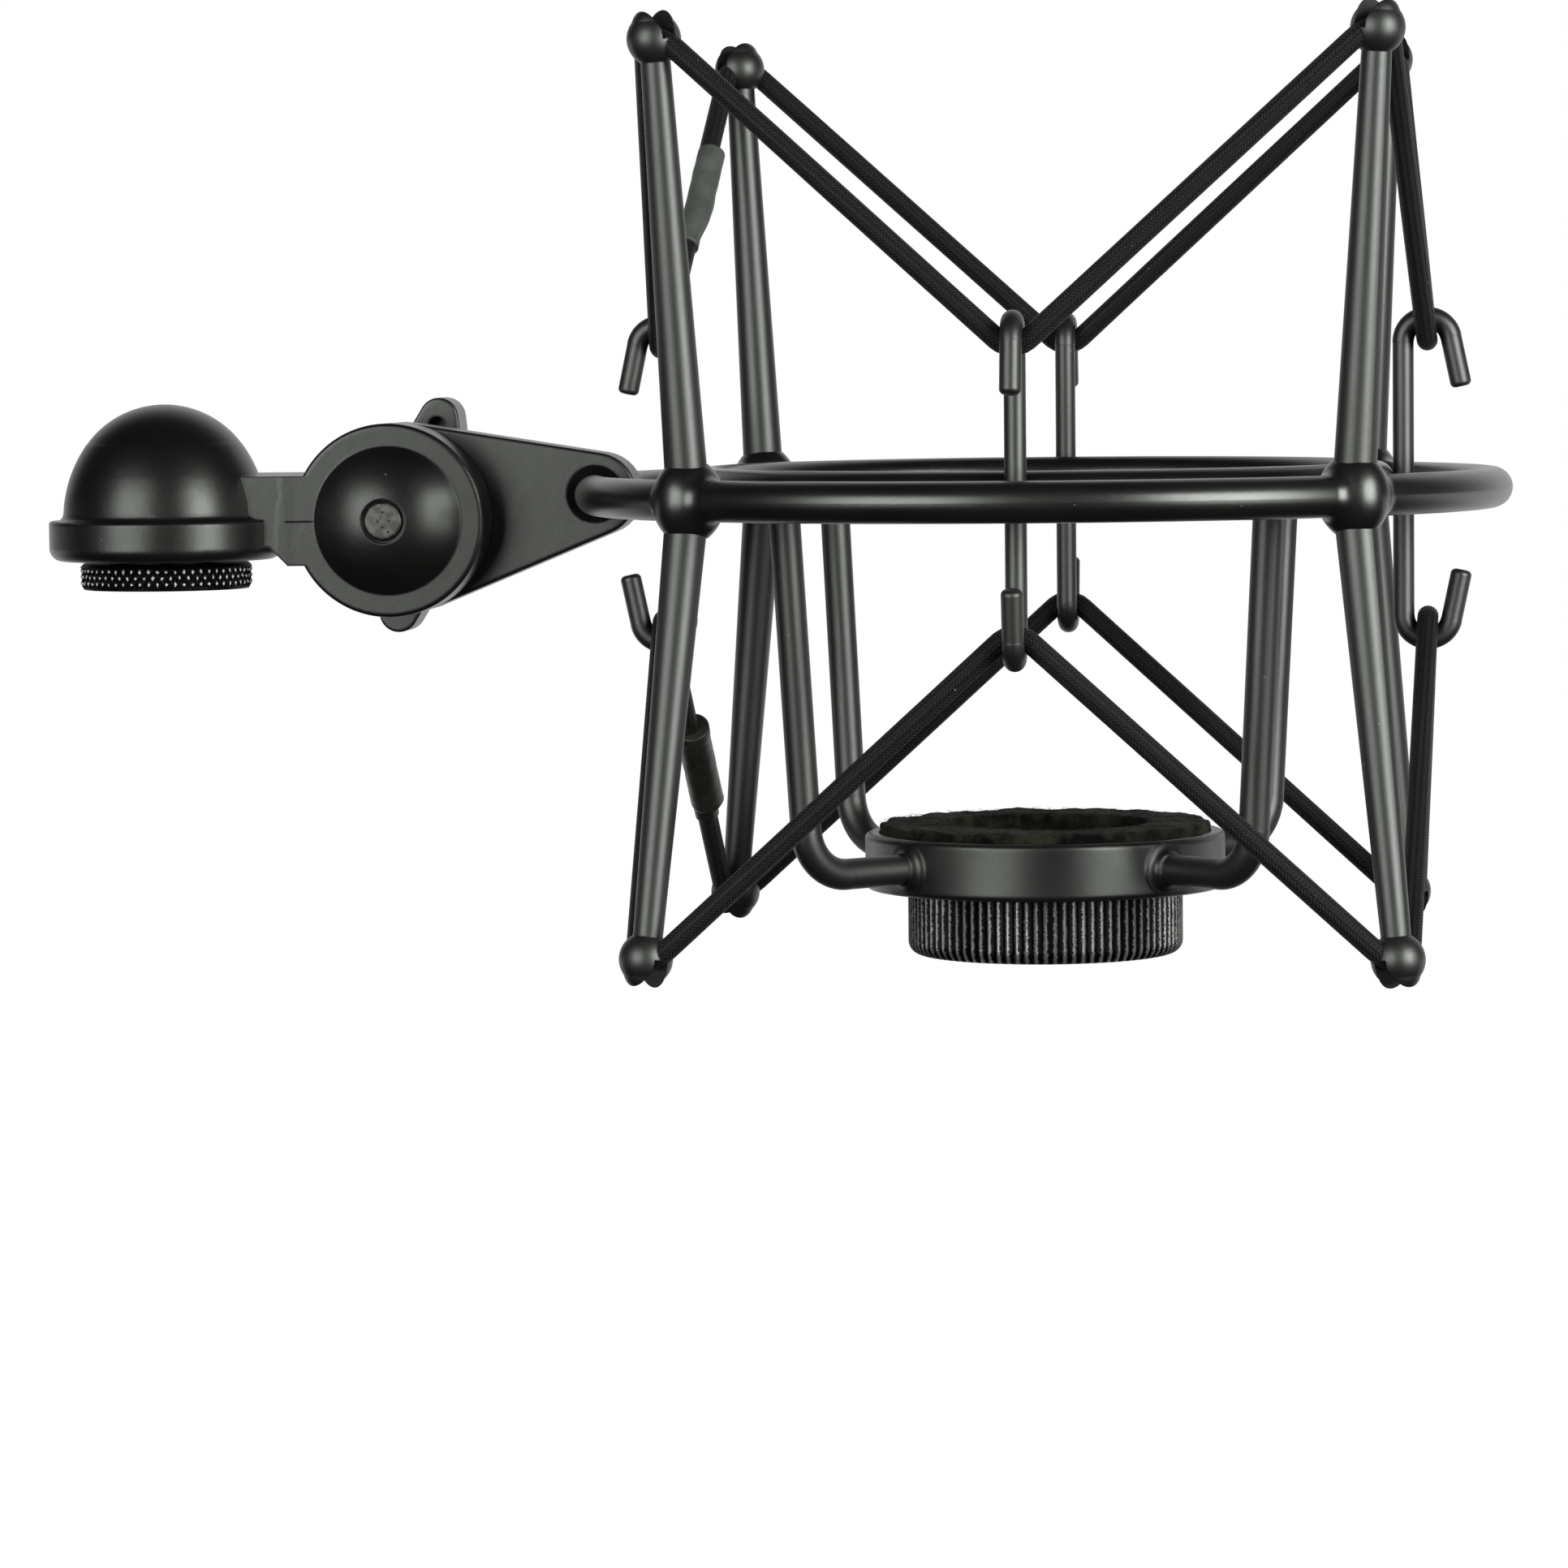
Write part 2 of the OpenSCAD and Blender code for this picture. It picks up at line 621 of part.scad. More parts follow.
// Cup turned from one outline, with rounded outer edges
module cup_body() {
    rotate_extrude() {
        translate([0, cup_foot]) square([cup_r - cup_round, cup_h]);
        translate([0, cup_foot + cup_round]) square([cup_r, cup_h - 2 * cup_round]);
        for (z = [cup_foot + cup_round, cup_top - cup_round])
            translate([cup_r - cup_round, z]) circle(r = cup_round);
    }
}

// Concave fillet around a rod where it enters the cup wall
module rod_fillet(i) {
    width = upright_r + weld_fillet;
    wall = sqrt(cup_r * cup_r - width * width) - cup_round;
    reach = cup_r + weld_fillet - wall;
    rotate([0, 0, corner_bearing(i)]) translate([wall, 0, leg_z]) rotate([0, 90, 0])
        rotate_extrude() difference() {
            square([width, reach]);
            translate([width, reach]) circle(r = weld_fillet);
        }
}

module cradle_cup() color(paint) translate(cradle_c) difference() {
    union() {
        cup_body();
        for (i = [0:3]) rod_fillet(i);
    }
    translate([0, 0, cup_foot - over]) cylinder(r = neck_r + turn_gap, h = cup_h + 2 * over);
    translate([0, 0, pocket_floor]) cylinder(r = retainer_r + felt_gap, h = cup_h);
    translate([0, 0, felt_floor]) cylinder(r = felt_r, h = cup_h);
    for (i = [0:3]) rotate([0, 0, corner_bearing(i)])
        translate([cup_r - socket_depth, 0, leg_z]) rotate([0, 90, 0])
            cylinder(r = upright_r, h = 2 * socket_depth);
}

module felt_pad() color(felt_colour) translate(cradle_c + [0, 0, felt_floor]) difference() {
    cylinder(r = felt_r, h = felt_t);
    translate([0, 0, -over]) cylinder(r = felt_hole_r, h = felt_t + 2 * over);
}

// Captive nut: knurled body, neck through the cup and a groove for the snap ring
module retaining_nut() color(black_steel) translate(cradle_c) difference() {
    union() {
        translate([0, 0, nut_foot + nut_round]) cylinder(r = nut_r, h = nut_h - nut_round);
        translate([0, 0, nut_foot]) cylinder(r = nut_r - nut_round, h = nut_h);
        translate([0, 0, nut_foot + nut_round]) torus(nut_r - nut_round, nut_round);
        translate([0, 0, nut_foot]) cylinder(r = neck_r, h = neck_top - nut_foot);
    }
    translate([0, 0, nut_foot - over]) cylinder(r = mic_thread_r, h = neck_top - nut_foot + 2 * over);
    translate([0, 0, retainer_foot]) snap_ring();
}

module snap_ring() {
    difference() {
        cylinder(r = retainer_r, h = retainer_t);
        translate([0, 0, -over]) cylinder(r = neck_r - retainer_groove, h = retainer_t + 2 * over);
    }
}

module nut_retainer() color(bare_steel) translate(cradle_c + [0, 0, retainer_foot]) snap_ring();

stand_adapter();
stand_head();
clamp_screw();
friction_washer();
tilt_arm();
wing_washer();
wing_handle();
outer_ring();
for (i = [0:3]) {
    ring_ball(i);
    post(i, upper_splay, 1);
    post(i, lower_splay, -1);
    hook(i);
    upright(i);
}
elastic(upper_splay, 1);  // upper_elastic
elastic(lower_splay, -1);  // lower_elastic
sleeve(upper_splay, 1, upper_sleeve_r);  // upper_sleeve
sleeve(lower_splay, -1, lower_sleeve_r);  // lower_sleeve
inner_ring();
cradle_cup();
felt_pad();
retaining_nut();
nut_retainer();
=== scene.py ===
import json
import math
import random

import bmesh
import bpy
from mathutils import Matrix, Vector, noise


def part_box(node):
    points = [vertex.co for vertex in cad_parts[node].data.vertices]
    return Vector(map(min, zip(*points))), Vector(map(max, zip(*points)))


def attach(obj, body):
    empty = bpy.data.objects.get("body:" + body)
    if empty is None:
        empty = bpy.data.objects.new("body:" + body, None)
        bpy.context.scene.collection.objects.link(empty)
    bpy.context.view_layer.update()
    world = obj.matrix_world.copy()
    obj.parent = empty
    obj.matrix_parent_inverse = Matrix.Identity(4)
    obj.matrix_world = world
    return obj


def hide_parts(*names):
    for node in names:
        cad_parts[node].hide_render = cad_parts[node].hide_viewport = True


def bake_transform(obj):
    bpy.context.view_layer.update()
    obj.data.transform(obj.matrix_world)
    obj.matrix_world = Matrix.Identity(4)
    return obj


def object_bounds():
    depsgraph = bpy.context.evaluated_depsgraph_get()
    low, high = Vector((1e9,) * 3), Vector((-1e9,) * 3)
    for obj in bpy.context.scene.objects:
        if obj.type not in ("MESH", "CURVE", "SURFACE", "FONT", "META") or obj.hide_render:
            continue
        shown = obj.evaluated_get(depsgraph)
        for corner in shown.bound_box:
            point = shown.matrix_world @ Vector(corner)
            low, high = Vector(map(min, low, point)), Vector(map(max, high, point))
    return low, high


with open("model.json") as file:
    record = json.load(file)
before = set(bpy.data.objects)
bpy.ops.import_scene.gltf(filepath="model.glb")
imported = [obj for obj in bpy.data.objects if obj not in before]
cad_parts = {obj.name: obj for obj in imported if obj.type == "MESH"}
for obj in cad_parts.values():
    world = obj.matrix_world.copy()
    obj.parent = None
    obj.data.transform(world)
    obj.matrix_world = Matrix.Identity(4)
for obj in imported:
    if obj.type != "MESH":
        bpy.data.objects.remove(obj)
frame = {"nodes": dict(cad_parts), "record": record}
cad_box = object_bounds()

MM = 0.001
INCH = 25.4 * MM
UP = Vector((0, 0, 1))
FULL_TURN = 2 * math.pi

# Places and sizes read from the frame, in metres


def middle(node):
    low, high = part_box(node)
    return (low + high) / 2


ring_low, ring_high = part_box("outer_ring")
ring_centre = middle("outer_ring")
ring_bar = (ring_high.z - ring_low.z) / 2
ring_radius = (ring_high.x - ring_low.x) / 2 - ring_bar
cradle_centre = middle("inner_ring")
stand_thread, mic_thread = frame["record"]["mounts"]


# Posts on the ring, as the frame has them: splay of the upper (1) and lower (-1) ones
CORNERS = ("back_right", "back_left", "front_left", "front_right")
CORNER_BEARING = 45
QUARTER = 90
SPLAY = {1: math.radians(4.5), -1: math.radians(7.5)}
POST_LENGTH = 60.8 * MM


def outward(degrees):
    return Vector((math.cos(math.radians(degrees)), math.sin(math.radians(degrees)), 0))


def corner_way(corner):
    """Way from the ring's axis to a corner with posts."""
    return outward(CORNER_BEARING + QUARTER * corner)


# Camera, fitted to the ring, posts, hinge and cup in the photograph
IMAGE_SIDE = 1932
FOCAL_PIXELS = 7515.6
VIEW_YAW = math.radians(6.468)
VIEW_PITCH = math.radians(4.165)
VIEW_ROLL = math.radians(-0.611)
RING_ASIDE = 36.223 * MM
RING_AHEAD = 845.79 * MM
RING_BELOW = 21.136 * MM
SENSOR_SIDE = 36
NEAREST_SEEN = 50 * MM


def make_camera():
    data = bpy.data.cameras.new("camera")
    data.sensor_width = SENSOR_SIDE
    data.lens = FOCAL_PIXELS / IMAGE_SIDE * SENSOR_SIDE
    data.clip_start = NEAREST_SEEN
    camera = bpy.data.objects.new("camera", data)
    bpy.context.scene.collection.objects.link(camera)
    right = Vector((math.cos(VIEW_YAW), math.sin(VIEW_YAW), 0))
    ahead = UP.cross(right)
    place = ring_centre - RING_ASIDE * right - RING_AHEAD * ahead + RING_BELOW * UP
    turn = (Matrix.Rotation(VIEW_YAW, 4, "Z")
            @ Matrix.Rotation(math.radians(90) - VIEW_PITCH, 4, "X")
            @ Matrix.Rotation(VIEW_ROLL, 4, "Z"))
    camera.matrix_world = Matrix.Translation(place) @ turn
    bpy.context.scene.camera = camera


# Node trees


class Socket:
    """A node's output that takes part in arithmetic. Each operation adds a Math node."""

    def __init__(self, nodes, output):
        self.nodes = nodes
        self.output = output

    def maths(self, operation, *terms):
        return self.nodes.add("Math", {"operation": operation}, dict(enumerate(terms)))

    def __add__(self, other):
        return self.maths("ADD", self, other)

    def __radd__(self, other):
        return self.maths("ADD", other, self)

    def __sub__(self, other):
        return self.maths("SUBTRACT", self, other)

    def __rsub__(self, other):
        return self.maths("SUBTRACT", other, self)

    def __mul__(self, other):
        return self.maths("MULTIPLY", self, other)

    def __rmul__(self, other):
        return self.maths("MULTIPLY", other, self)

    def below(self, edge):
        return self.maths("LESS_THAN", self, edge)

    def larger(self, other):
        return self.maths("MAXIMUM", self, other)

    def fraction(self):
        return self.maths("FRACT", self)

    def sine(self):
        return self.maths("SINE", self)

    def size(self):
        return self.maths("ABSOLUTE", self)

    def rise(self, start, end, low=0, high=1):
        """The low value before start, the high one after end and a smooth step between."""
        settings = {"interpolation_type": "SMOOTHSTEP"}
        inputs = {"Value": self, "From Min": start, "From Max": end, "To Min": low, "To Max": high}
        return self.nodes.add("MapRange", settings, inputs)


class Nodes:
    """A node tree, with the one way in which nodes come into it."""

    def __init__(self, tree):
        self.tree = tree

    def add(self, kind, settings=None, inputs=None, output=0):
        node = self.tree.nodes.new("ShaderNode" + kind)
        for name, value in (settings or {}).items():
            setattr(node, name, value)
        for name, value in (inputs or {}).items():
            self.feed(node.inputs[name], value)
        return Socket(self, node.outputs[output])

    def feed(self, socket, value):
        if isinstance(value, Socket):
            self.tree.links.new(value.output, socket)
        else:
            socket.default_value = value


class Finish(Nodes):
    """A material around one Principled shader, with patterns on Object coordinates."""

    def __init__(self, name, **constants):
        self.material = bpy.data.materials.new(name)
        self.material.use_nodes = True
        super().__init__(self.material.node_tree)
        self.shader = self.tree.nodes["Principled BSDF"]
        for socket, value in constants.items():
            self.shade(socket.replace("_", " "), value)
        self.place = self.add("TexCoord", output="Object")

    def shade(self, name, value):
        self.feed(self.shader.inputs[name], value)

    def axis(self, name, vector=None):
        return self.add("SeparateXYZ", inputs={0: vector or self.place}, output=name)

    def noise(self, scale, detail=2, roughness=0.5):
        inputs = {"Vector": self.place, "Scale": scale, "Detail": detail, "Roughness": roughness}
        return self.add("TexNoise", inputs=inputs)

    def specks(self, scale, share, size):
        """1 on a few small spots: cells of which only a share has a spot."""
        inputs = {"Vector": self.place, "Scale": scale}
        distance = self.add("TexVoronoi", inputs=inputs, output="Distance")
        colour = self.add("TexVoronoi", inputs=inputs, output="Color")
        chance = self.add("SeparateColor", inputs={"Color": colour})
        return distance.below(size) * chance.below(share)

    def blend(self, factor, first, second):
        return self.add("Mix", {"data_type": "RGBA"}, {0: factor, 6: first, 7: second}, output=2)

    def bump(self, height, depth, strength=1.0, normal=None):
        inputs = {"Height": height, "Distance": depth, "Strength": strength}
        if normal:
            inputs["Normal"] = normal
        return self.add("Bump", inputs=inputs)

    def soft_edges(self, radius):
        """A normal that rounds the sharp edges of a machined or cast shape."""
        return self.add("Bevel", {"samples": 6}, {"Radius": radius})


# Satin black paint, and the parting line and step of the casting on the lug's front face
PAINT_DARK = (0.0022, 0.0023, 0.0022, 1)
PAINT_LIGHT = (0.0044, 0.0047, 0.0038, 1)
PAINT_TINT = (0.955, 1.0, 0.945, 1)
PAINT_DUST = (0.12, 0.12, 0.11, 1)
# The parting line is darkened with painted shade in its groove
PARTING_PAINTED_SHADE = (0.0008, 0.0008, 0.0008, 1)
PARTING_HEIGHT = 9.3 * MM
PARTING_START = 17.9 * MM
PARTING_START_FADE = 0.5 * MM
PARTING_END = 22.3 * MM
PARTING_END_FADE = 1 * MM
PARTING_WAVER = 0.25 * MM
PARTING_CORE = 0.03 * MM
PARTING_REACH = 0.16 * MM
PARTING_DEPTH = 0.12 * MM
STEP_PLACE = 16.9 * MM
STEP_LEAN = 0.09
STEP_WAVER = 4
STEP_REACH = 0.45 * MM
STEP_FADE = 2 * MM
STEP_SHARE = 0.2
LUG_END = 19.6 * MM


def casting_lines(finish):
    """1 in the thin parting line between the lug and the cap, and 1 past the soft step beside it."""
    x = finish.axis("X")
    z = finish.axis("Z")
    waver = PARTING_WAVER * (finish.noise(scale=420) - 0.5)
    line = 1 - (z - PARTING_HEIGHT + waver).size().rise(PARTING_CORE, PARTING_REACH)
    line = line * x.rise(PARTING_START, PARTING_START + PARTING_START_FADE)
    line = line * (1 - x.rise(PARTING_END - PARTING_END_FADE, PARTING_END))
    lean = x - STEP_PLACE - STEP_LEAN * (z - PARTING_HEIGHT) + STEP_WAVER * waver
    step = lean.rise(-STEP_REACH, STEP_REACH) * (1 - x.rise(LUG_END - STEP_FADE, LUG_END))
    return line, step


def paint(name, roughness, ior, edge, skin=0.0, cast_lines=False):
    """Satin black paint: faint clouds, fine grain, specks of dust and the skin of a casting."""
    finish = Finish(name, IOR=ior, Specular_Tint=PAINT_TINT)
    clouds = finish.noise(scale=70, detail=4)
    grain = finish.noise(scale=2400)
    dust = finish.specks(scale=520, share=0.035, size=0.08)
    colour = finish.blend(clouds.rise(0.3, 0.7), PAINT_DARK, PAINT_LIGHT)
    gloss = roughness + 0.1 * (clouds - 0.5) + 0.08 * (grain - 0.5)
    normal = finish.bump(grain, depth=0.02 * MM, strength=0.35, normal=finish.soft_edges(edge))
    if skin:
        pores = finish.noise(scale=380, detail=3)
        normal = finish.bump(pores, depth=0.1 * MM, strength=skin, normal=normal)
    if cast_lines:
        line, step = casting_lines(finish)
        normal = finish.bump(STEP_SHARE * step - line, depth=PARTING_DEPTH, normal=normal)
        # Painted shade darkens the parting line's groove
        colour = finish.blend(line, colour, PARTING_PAINTED_SHADE)
        gloss = gloss + 0.5 * line
    finish.shade("Base Color", finish.blend(dust, colour, PAINT_DUST))
    finish.shade("Roughness", gloss)
    finish.shade("Normal", normal)
    return finish.material


# Blackened steel of the knurled pieces
GROOVE_BLACK = (0.002, 0.002, 0.002, 1)
# Adapter tips near white: partly bare metal from wear, partly painted highlight standing in for
# glints
ADAPTER_WEAR_AND_GLINT = (0.9, 0.9, 0.87, 1)
NUT_WORN = (0.3, 0.3, 0.29, 1)


def black_steel(name, shine, wear_and_glint, metal, rub_and_glint_start, rub_and_glint_end):
    """Near black in the grooves and lighter at the knurl's tips: bare metal from wear, and on the
    adapter also a painted highlight of glints.
    """
    finish = Finish(name, Specular_IOR_Level=shine)
    tips = finish.add("Attribute", {"attribute_name": "tip"}, output="Fac")
    wear = finish.noise(scale=2600, detail=3)
    rubbed_and_glint = (tips + 0.9 * (wear - 0.5)).rise(rub_and_glint_start, rub_and_glint_end)
    finish.shade("Base Color", finish.blend(rubbed_and_glint, GROOVE_BLACK, wear_and_glint))
    finish.shade("Metallic", metal * rubbed_and_glint)
    finish.shade("Roughness", 0.22 + 0.2 * wear)
    finish.shade("Normal", finish.bump(finish.noise(scale=4200), depth=0.1 * MM, strength=0.6))
    return finish.material


# Dull plated steel of the stud, the clamp nut's washer and the snap ring
PLATE_STAINED = (0.075, 0.079, 0.071, 1)
PLATE_CLEAN = (0.15, 0.155, 0.14, 1)
PLATE_PIT = (0.02, 0.02, 0.018, 1)
PLATE_EDGE = 0.5 * MM


def bare_steel():
    """Dull plated steel with stains and pits."""
    finish = Finish("bare_steel", Metallic=1.0)
    stains = finish.noise(scale=900, detail=4)
    pits = finish.specks(scale=1300, share=0.25, size=0.22)
    grain = finish.noise(scale=2500)
    colour = finish.blend(stains.rise(0.35, 0.65), PLATE_STAINED, PLATE_CLEAN)
    edges = finish.soft_edges(PLATE_EDGE)
    finish.shade("Base Color", finish.blend(pits, colour, PLATE_PIT))
    finish.shade("Roughness", 0.36 + 0.25 * stains)
    finish.shade("Normal", finish.bump(grain, depth=0.03 * MM, strength=0.6, normal=edges))
    return finish.material


# Braided cover of the elastic, in columns round the cord and rows along it
BRAID_COLUMNS = 12
BRAID_ROWS = 980
STITCH_LEAN = 1.5
# The gaps between stitches are painted near black: painted shade
BRAID_GAP_PAINTED_SHADE = (0.0008, 0.0009, 0.0007, 1)
BRAID_YARN = (0.019, 0.0225, 0.0175, 1)
BRAID_LINT = (0.15, 0.15, 0.13, 1)


def braid():
    """Slanting stitches that turn from column to column, with a little lint, and painted shade in
    the gaps between them.
    """
    finish = Finish("braided_elastic", Sheen_Weight=0.05, Sheen_Roughness=0.5,
                    Specular_IOR_Level=0.25)
    uv = finish.add("UVMap")
    across = finish.axis("X", uv) * BRAID_COLUMNS
    along = finish.axis("Y", uv) * BRAID_ROWS
    column = across.fraction() - 0.5
    lean = 2 * (across * 0.5).fraction().below(0.5) - 1
    stitch = ((along + lean * column * STITCH_LEAN) * FULL_TURN).sine()
    rib = stitch.rise(-0.6, 0.8) * (1 - (2 * column).size() * (2 * column).size())
    fuzz = finish.noise(scale=3000)
    lint = finish.specks(scale=900, share=0.03, size=0.12)
    # Painted shade darkens the gaps between stitches
    colour = finish.blend(rib, BRAID_GAP_PAINTED_SHADE, BRAID_YARN)
    finish.shade("Base Color", finish.blend(lint, colour, BRAID_LINT))
    finish.shade("Roughness", 0.45 + 0.2 * fuzz)
    finish.shade("Normal", finish.bump(rib + 0.2 * fuzz, depth=0.14 * MM))
    return finish.material


# Heat-shrunk tube: a grey sleeve above, and below a darker copy of it whose darkness is painted
# shade
GREY_TUBE_DARK = (0.082, 0.095, 0.082, 1)
GREY_TUBE_PALE = (0.125, 0.142, 0.123, 1)
SHADED_TUBE_DARK = (0.012, 0.014, 0.01, 1)
SHADED_TUBE_PALE = (0.027, 0.03, 0.022, 1)
TUBE_DUST = (0.4, 0.4, 0.38, 1)


def shrink_tube(name, dark, pale, roughness):
    """Clouded tube with a fine grain and specks of dust."""
    finish = Finish(name, Specular_IOR_Level=0.4)
    clouds = finish.noise(scale=260, detail=4)
    grain = finish.noise(scale=600, detail=4)
    dust = finish.specks(scale=500, share=0.06, size=0.12)
    colour = finish.blend(clouds.rise(0.3, 0.7), dark, pale)
    finish.shade("Base Color", finish.blend(dust, colour, TUBE_DUST))
    finish.shade("Roughness", roughness + 0.15 * clouds)
    finish.shade("Normal", finish.bump(grain, depth=0.08 * MM, strength=0.5))
    return finish.material


# Felt and hard fibre
FELT_DARK = (0.0007, 0.0007, 0.0005, 1)
FELT_BROWN = (0.036, 0.036, 0.023, 1)
FELT_LINT = (0.3, 0.29, 0.25, 1)
FIBRE_DARK = (0.01, 0.01, 0.01, 1)
FIBRE_PALE = (0.04, 0.038, 0.034, 1)


def felt():
    """Pressed wool: brown black, matted, with pale lint."""
    finish = Finish("felt", Sheen_Weight=0.04, Sheen_Roughness=0.6, Specular_IOR_Level=0.1,
                    Roughness=0.95)
    tufts = finish.noise(scale=110, detail=3)
    wool = finish.noise(scale=450, detail=6, roughness=0.7)
    hairs = finish.noise(scale=2200, detail=3, roughness=0.7)
    lint = finish.specks(scale=420, share=0.05, size=0.13)
    mat = 0.5 * tufts + 0.5 * wool
    colour = finish.blend(mat.rise(0.4, 0.64), FELT_DARK, FELT_BROWN)
    finish.shade("Base Color", finish.blend(lint, colour, FELT_LINT))
    finish.shade("Normal", finish.bump(mat + 0.5 * hairs, depth=0.6 * MM, strength=0.8))
    return finish.material


def fibre():
    """Hard fibre of the friction washer."""
    finish = Finish("fibre", Specular_IOR_Level=0.3)
    fibres = finish.noise(scale=1500, detail=4)
    finish.shade("Base Color", finish.blend(fibres, FIBRE_DARK, FIBRE_PALE))
    finish.shade("Roughness", 0.7 + 0.2 * fibres)
    return finish.material


# Shapes that the pieces share
SAME_PLACE = 1e-7


def finished(name, shape, material, body=None, smooth=True):
    """Turns a bmesh into a piece at the origin, with its place in its mesh."""
    mesh = bpy.data.meshes.new(name)
    for face in shape.faces:
        face.smooth = smooth
    shape.to_mesh(mesh)
    shape.free()
    mesh.materials.append(material)
    piece = bpy.data.objects.new(name, mesh)
    bpy.context.scene.collection.objects.link(piece)
    if body:
        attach(piece, body)
    return piece


def close_seams(shape):
    """Merges the doubles along seams and turns all faces outwards."""
    bmesh.ops.remove_doubles(shape, verts=shape.verts[:], dist=SAME_PLACE)
    bmesh.ops.recalc_face_normals(shape, faces=shape.faces[:])


def turned(outline, steps, place):
    """Revolves a closed outline of (radius, height) points about Z and moves it to its place."""
    shape = bmesh.new()
    verts = [shape.verts.new((radius, 0, height)) for radius, height in outline]
    for first, second in zip(verts, verts[1:] + verts[:1]):
        shape.edges.new((first, second))
    bmesh.ops.spin(shape, geom=shape.verts[:] + shape.edges[:], cent=(0, 0, 0), axis=UP,
                   angle=FULL_TURN, steps=steps, use_merge=True)
    close_seams(shape)
    bmesh.ops.transform(shape, matrix=place, verts=shape.verts[:])
    return shape


def upright_at(centre):
    return Matrix.Translation((centre.x, centre.y, 0))


def span(start, end, count):
    """Values from start to end, at equal steps."""
    return [start + (end - start) * k / count for k in range(count + 1)]


def arc(radius, height, bend, start, end, steps):
    """Points on a circle of the outline, with angles in degrees from the outward radius."""
    angles = [math.radians(angle) for angle in span(start, end, steps)]
    return [(radius + bend * math.cos(a), height + bend * math.sin(a)) for a in angles]


def saw(value):
    """Triangle wave from 0 at whole numbers to 1 halfway between them."""
    return 1 - abs(2 * (value % 1) - 1)


def round_about(turn, across, over):
    """Way out of a tube's middle at a share of a turn."""
    return math.cos(FULL_TURN * turn) * across + math.sin(FULL_TURN * turn) * over


def tube(rows, sides, place):
    """Tube made from a grid, so that its UV map runs round and along it.

    place takes a row and a share of a turn, and gives the point.
    """
    shape = bmesh.new()
    shape.loops.layers.uv.new("UVMap")
    grid = bmesh.ops.create_grid(shape, x_segments=sides, y_segments=rows, size=1, calc_uvs=True)
    for vert in grid["verts"]:
        row = round((vert.co.y + 1) / 2 * rows)
        vert.co = place(row, (vert.co.x + 1) / 2)
    close_seams(shape)
    return shape


# Knurls and threads
EDGE = 0.5 * MM
WALL_BAND = 0.1 * EDGE
KNURL_DEPTH = 0.5 * MM
ROWS_PER_PITCH = 6
DEPTH_PER_PITCH = 0.4


def radial_push(shape, centre, relief):
    """Moves each vertex outwards and marks the tips of the knurl.

    relief takes a radius, a bearing in turns and a height, and gives the push and the mark.
    """
    tip = shape.verts.layers.float.new("tip")
    for vert in shape.verts:
        flat = Vector((vert.co.x - centre.x, vert.co.y - centre.y, 0))
        bearing = math.atan2(flat.y, flat.x) / FULL_TURN
        push, vert[tip] = relief(flat.length, bearing, vert.co.z)
        vert.co += flat.normalized() * push


def thread_rows(radius, top, foot, pitch):
    """Points down a bore's wall, close enough to carry a thread."""
    return [(radius, z) for z in span(top, foot, round((top - foot) / pitch * ROWS_PER_PITCH))]


def thread_depth(bearing, z, top, foot, pitch):
    """Depth of the thread in a bore's wall. It runs out at both ends."""
    fade = min(1, (z - foot) / pitch, (top - z) / pitch)
    return DEPTH_PER_PITCH * pitch * saw(z / pitch - bearing) * max(0, fade)


# Knurled adapter under the head: the shift puts whole rows of tips inside its edges
ADAPTER_KNURLS = 60
ADAPTER_KNURL_ROWS = 3
ADAPTER_ROW_SHIFT = 0.25
ADAPTER_STEPS = 6 * ADAPTER_KNURLS
STAND_PITCH = INCH / 16
BUSHING_RADIUS = 7.94 * MM
FLANGE_HEIGHT = 3.6 * MM


def make_adapter(material):
    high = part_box("stand_adapter")[1]
    rim, top = high.x, high.z
    bore = stand_thread["dims"]["r_mm"] * MM
    knurl_low, knurl_high = EDGE, FLANGE_HEIGHT - EDGE
    thread_top, thread_foot = top - EDGE, EDGE
    outline = ([(rim - EDGE, 0)]
               + [(rim, z) for z in span(knurl_low, knurl_high, count=24)]
               + [(rim - EDGE, FLANGE_HEIGHT), (BUSHING_RADIUS, FLANGE_HEIGHT),
                  (BUSHING_RADIUS, top - EDGE), (BUSHING_RADIUS - EDGE, top), (bore + EDGE, top)]
               + thread_rows(bore, thread_top, thread_foot, STAND_PITCH)
               + [(bore + EDGE, 0)])
    shape = turned(outline, ADAPTER_STEPS, Matrix())

    def relief(radius, bearing, z):
        if radius > rim - WALL_BAND and knurl_low <= z <= knurl_high:
            share = (z - knurl_low) / (knurl_high - knurl_low)
            step = share * ADAPTER_KNURL_ROWS / 2 + ADAPTER_ROW_SHIFT
            turn = bearing * ADAPTER_KNURLS
            height = min(saw(turn + step), saw(turn - step))
            return KNURL_DEPTH * (height - 1), height
        if radius < bore + WALL_BAND:
            return thread_depth(bearing, z, thread_top, thread_foot, STAND_PITCH), 0
        return 0, 0

    radial_push(shape, Vector((0, 0, 0)), relief)
    piece = finished("knurled_adapter", shape, material, "adapter", smooth=False)
    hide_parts("stand_adapter")


# Captive nut under the cup: its knurl deepens over its round lower edge
NUT_RIDGES = 90
NUT_STEPS = 4 * NUT_RIDGES
NUT_EDGE = 1.8 * MM
NUT_HEIGHT = 9.1 * MM
NUT_NECK = 17 * MM
NUT_KNURL_GAIN = 1.5
MIC_PITCH = 1.25 * MM


